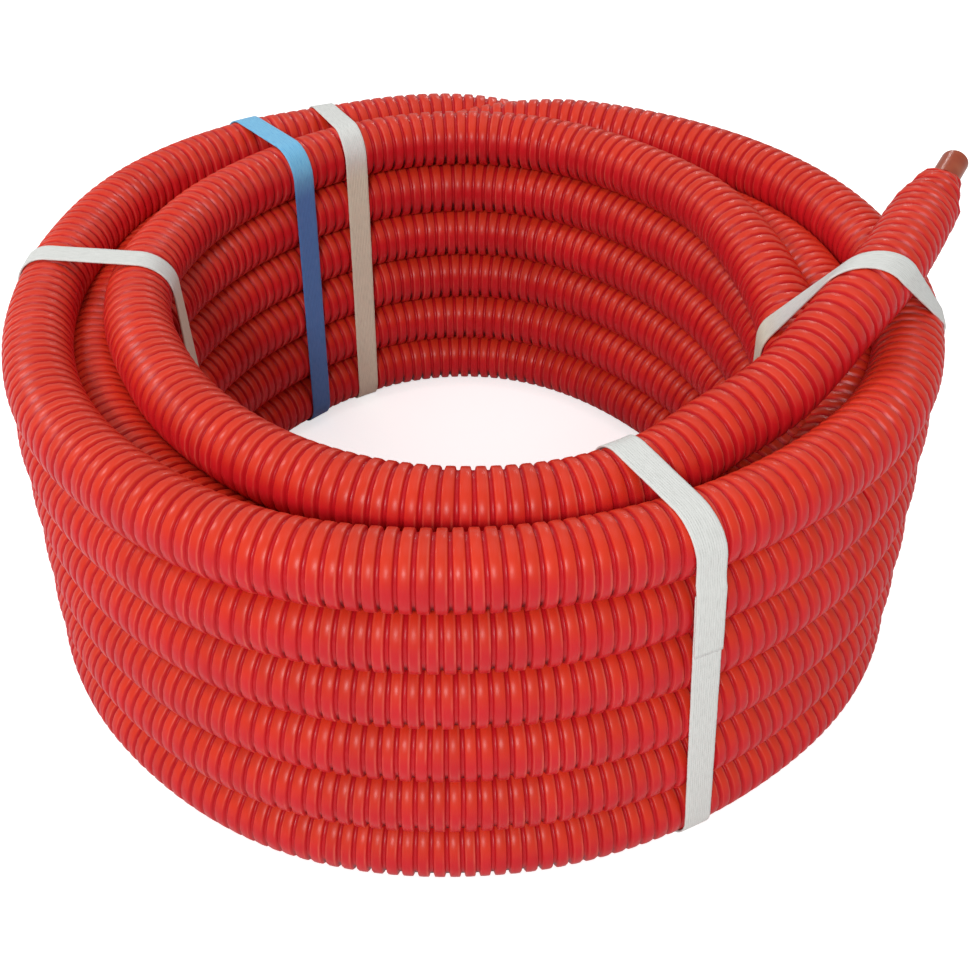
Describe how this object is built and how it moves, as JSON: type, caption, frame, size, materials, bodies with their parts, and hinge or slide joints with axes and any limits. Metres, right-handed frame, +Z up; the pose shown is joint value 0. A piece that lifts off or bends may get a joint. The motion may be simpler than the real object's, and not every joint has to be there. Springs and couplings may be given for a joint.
{
  "type": "coil of sheathed pex pipe",
  "caption": "Flat-lying coil of PEX pipe in a red corrugated sheath, held by woven straps, with its free end showing the bare pipe.",
  "frame": {"origin": "on the coil's axis, on the floor that the straps' undersides rest on", "axes": "+Z up along the coil's axis; the free end climbs at +X and points between +X and +Y"},
  "size_m": [0.4181, 0.392, 0.2015],
  "materials": {
    "red_sheath": "satin corrugated plastic",
    "pex": "smooth brown-red plastic",
    "white_strap": "woven polyester strap",
    "blue_strap": "woven polyester strap"
  },
  "bodies": {
    "root": {"corrugated_sheath": "red_sheath", "pex_pipe": "pex", "strap_left": "white_strap", "strap_blue": "blue_strap", "strap_back": "white_strap", "strap_right": "white_strap", "strap_front": "white_strap"}
  },
  "joints": []
}
